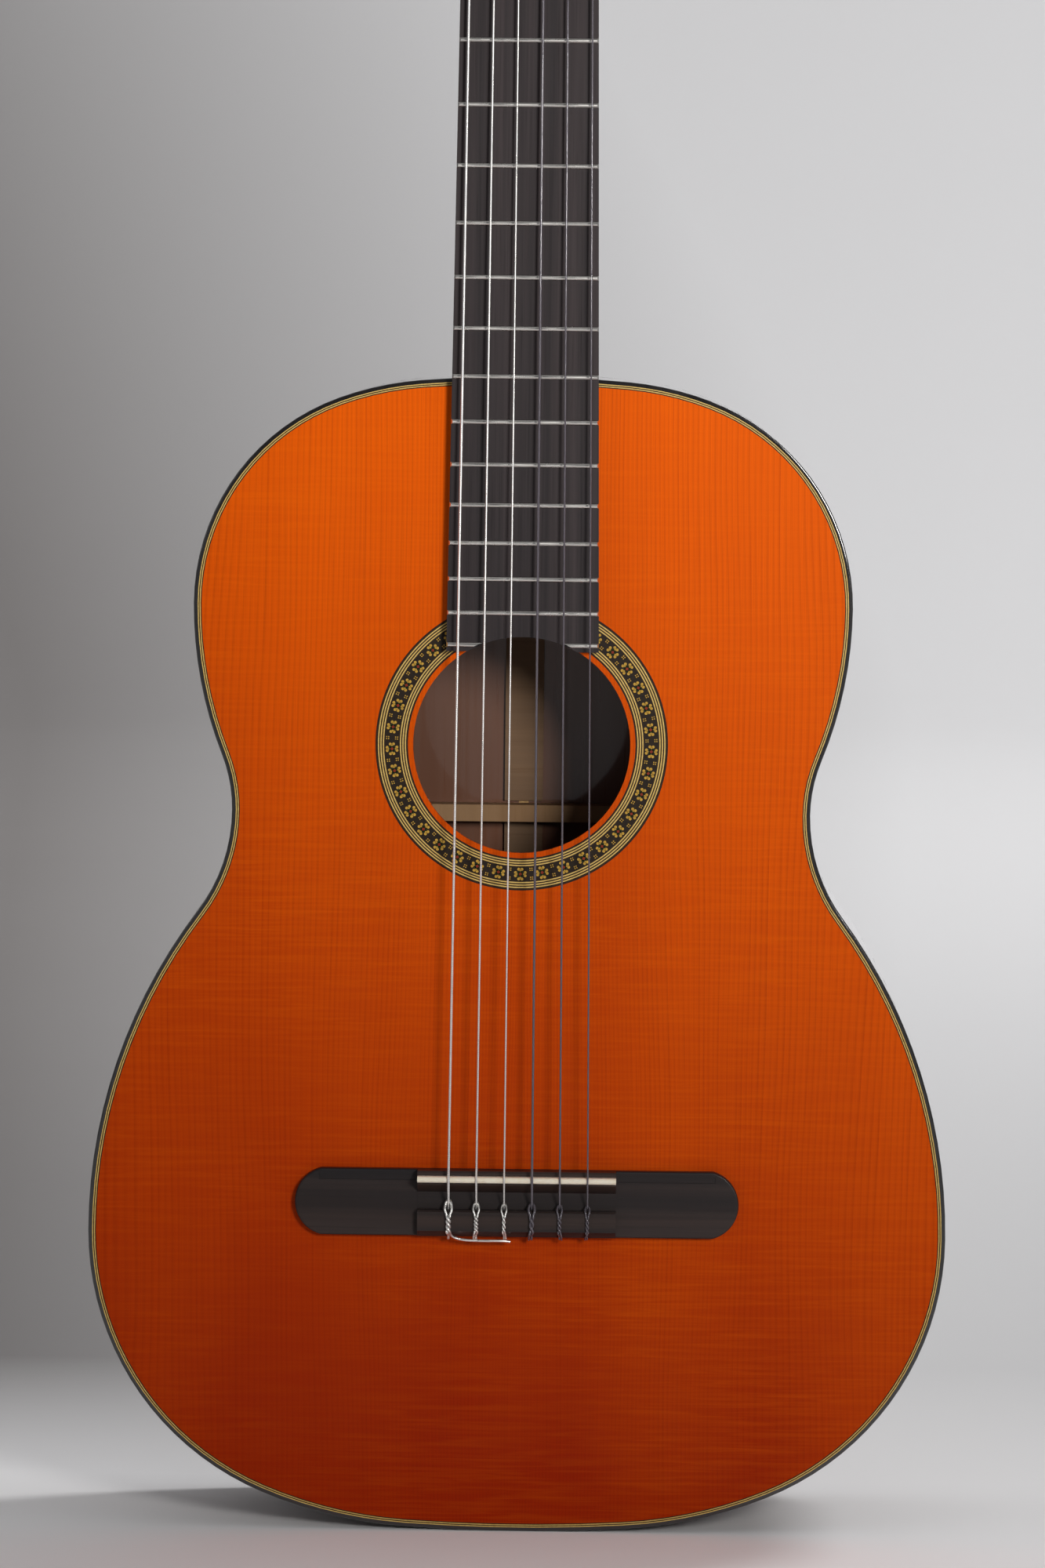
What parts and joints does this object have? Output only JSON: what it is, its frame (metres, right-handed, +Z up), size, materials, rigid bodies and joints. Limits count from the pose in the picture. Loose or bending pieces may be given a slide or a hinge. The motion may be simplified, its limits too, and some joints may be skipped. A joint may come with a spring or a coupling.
{
  "type": "classical guitar",
  "caption": "Classical guitar with a waisted sound box, mosaic rosette, tie bridge, fretted fingerboard and a slotted headstock with worm-geared tuners.",
  "frame": {"origin": "lowest point of the body at the tail, on the centre line of the soundboard's front face", "axes": "+Z up the neck towards the headstock, +Y towards the back of the body, +X towards the thinnest string; the soundboard faces -Y"},
  "size_m": [0.3492, 0.1119, 0.9855],
  "materials": {
    "spruce": "gloss varnished orange-amber softwood, fine straight vertical grain",
    "rosewood": "gloss varnished dark brown hardwood with darker streaks",
    "maple_strip": "pale inlaid strip",
    "binding_black": "gloss black edging",
    "line_cream": "cream veneer line under varnish",
    "line_dark": "dark brown veneer line under varnish",
    "mosaic": "dark ground with a small repeating golden, green and red wood mosaic",
    "brace_wood": "unfinished pale softwood",
    "block_wood": "unfinished reddish-brown wood",
    "neck_wood": "satin varnished reddish-brown wood",
    "fingerboard_wood": "oiled near-black wood with fine lengthwise grain",
    "bridge_wood": "dark brown wood with brown streaks",
    "fret_metal": "polished nickel silver",
    "bone": "polished ivory-white bone",
    "string_bass": "silver-plated wound string",
    "string_treble": "clear greyish nylon",
    "plate_metal": "polished gold-coloured plate",
    "gear_metal": "gold-coloured gear",
    "worm_metal": "bright steel",
    "button_plastic": "ivory-white",
    "roller_plastic": "white roller on a steel core"
  },
  "bodies": {
    "guitar": {"soundboard_bass_half": "spruce", "soundboard_treble_half": "spruce", "rosette_light_lines": "line_cream", "rosette_dark_lines": "line_dark", "rosette_mosaic_band": "mosaic", "front_binding": "binding_black", "back_binding": "binding_black", "purfling_light_lines": "line_cream", "purfling_dark_lines": "line_dark", "bass_rib": "rosewood", "treble_rib": "rosewood", "back_bass_half": "rosewood", "back_treble_half": "rosewood", "back_centre_strip": "maple_strip", "neck_block": "block_wood", "end_block": "block_wood", "linings": "block_wood", "transverse_bars": "brace_wood", "fan_braces": "brace_wood", "bridge_plate": "brace_wood", "back_braces": "brace_wood", "back_seam_strip": "brace_wood", "neck": "neck_wood", "headstock": "neck_wood", "heel_cap": "rosewood", "headplate": "rosewood", "fingerboard": "fingerboard_wood", "frets": "fret_metal", "nut": "bone", "bridge": "bridge_wood", "saddle": "bone", "bass_strings": "string_bass", "treble_strings": "string_treble", "bass_tuner_plate": "plate_metal", "treble_tuner_plate": "plate_metal", "tuner_screws": "plate_metal"},
    "key_1": {"tuner_1_button": "button_plastic", "tuner_1_worm": "worm_metal"},
    "roller_1": {"tuner_1_roller": "roller_plastic", "tuner_1_gear": "gear_metal"},
    "key_2": {"tuner_2_button": "button_plastic", "tuner_2_worm": "worm_metal"},
    "roller_2": {"tuner_2_roller": "roller_plastic", "tuner_2_gear": "gear_metal"},
    "key_3": {"tuner_3_button": "button_plastic", "tuner_3_worm": "worm_metal"},
    "roller_3": {"tuner_3_roller": "roller_plastic", "tuner_3_gear": "gear_metal"},
    "key_4": {"tuner_4_button": "button_plastic", "tuner_4_worm": "worm_metal"},
    "roller_4": {"tuner_4_roller": "roller_plastic", "tuner_4_gear": "gear_metal"},
    "key_5": {"tuner_5_button": "button_plastic", "tuner_5_worm": "worm_metal"},
    "roller_5": {"tuner_5_roller": "roller_plastic", "tuner_5_gear": "gear_metal"},
    "key_6": {"tuner_6_button": "button_plastic", "tuner_6_worm": "worm_metal"},
    "roller_6": {"tuner_6_roller": "roller_plastic", "tuner_6_gear": "gear_metal"}
  },
  "joints": [
    {"name": "key_1_turn", "type": "hinge", "parent": "guitar", "child": "key_1", "pos_m": [0.0402, 0.0201, 0.8456], "axis": [0, 0.9659, -0.2588], "continuous": true},
    {"name": "roller_1_turn", "type": "hinge", "parent": "guitar", "child": "roller_1", "pos_m": [0.0402, 0.02222, 0.85352], "axis": [1, 0, 0], "continuous": true},
    {"name": "key_2_turn", "type": "hinge", "parent": "guitar", "child": "key_2", "pos_m": [0.0402, 0.02916, 0.87941], "axis": [0, 0.9659, -0.2588], "continuous": true},
    {"name": "roller_2_turn", "type": "hinge", "parent": "guitar", "child": "roller_2", "pos_m": [0.0402, 0.03128, 0.88733], "axis": [1, 0, 0], "continuous": true},
    {"name": "key_3_turn", "type": "hinge", "parent": "guitar", "child": "key_3", "pos_m": [0.0402, 0.03822, 0.91322], "axis": [0, 0.9659, -0.2588], "continuous": true},
    {"name": "roller_3_turn", "type": "hinge", "parent": "guitar", "child": "roller_3", "pos_m": [0.0402, 0.04034, 0.92114], "axis": [1, 0, 0], "continuous": true},
    {"name": "key_4_turn", "type": "hinge", "parent": "guitar", "child": "key_4", "pos_m": [-0.0402, 0.03822, 0.91322], "axis": [0, 0.9659, -0.2588], "continuous": true},
    {"name": "roller_4_turn", "type": "hinge", "parent": "guitar", "child": "roller_4", "pos_m": [-0.0402, 0.04034, 0.92114], "axis": [1, 0, 0], "continuous": true},
    {"name": "key_5_turn", "type": "hinge", "parent": "guitar", "child": "key_5", "pos_m": [-0.0402, 0.02916, 0.87941], "axis": [0, 0.9659, -0.2588], "continuous": true},
    {"name": "roller_5_turn", "type": "hinge", "parent": "guitar", "child": "roller_5", "pos_m": [-0.0402, 0.03128, 0.88733], "axis": [1, 0, 0], "continuous": true},
    {"name": "key_6_turn", "type": "hinge", "parent": "guitar", "child": "key_6", "pos_m": [-0.0402, 0.0201, 0.8456], "axis": [0, 0.9659, -0.2588], "continuous": true},
    {"name": "roller_6_turn", "type": "hinge", "parent": "guitar", "child": "roller_6", "pos_m": [-0.0402, 0.02222, 0.85352], "axis": [1, 0, 0], "continuous": true}
  ],
  "couplings": [
    {"joint": "roller_1_turn", "follows": "key_1_turn", "ratio": -0.071429},
    {"joint": "roller_2_turn", "follows": "key_2_turn", "ratio": -0.071429},
    {"joint": "roller_3_turn", "follows": "key_3_turn", "ratio": -0.071429},
    {"joint": "roller_4_turn", "follows": "key_4_turn", "ratio": 0.071429},
    {"joint": "roller_5_turn", "follows": "key_5_turn", "ratio": 0.071429},
    {"joint": "roller_6_turn", "follows": "key_6_turn", "ratio": 0.071429}
  ]
}
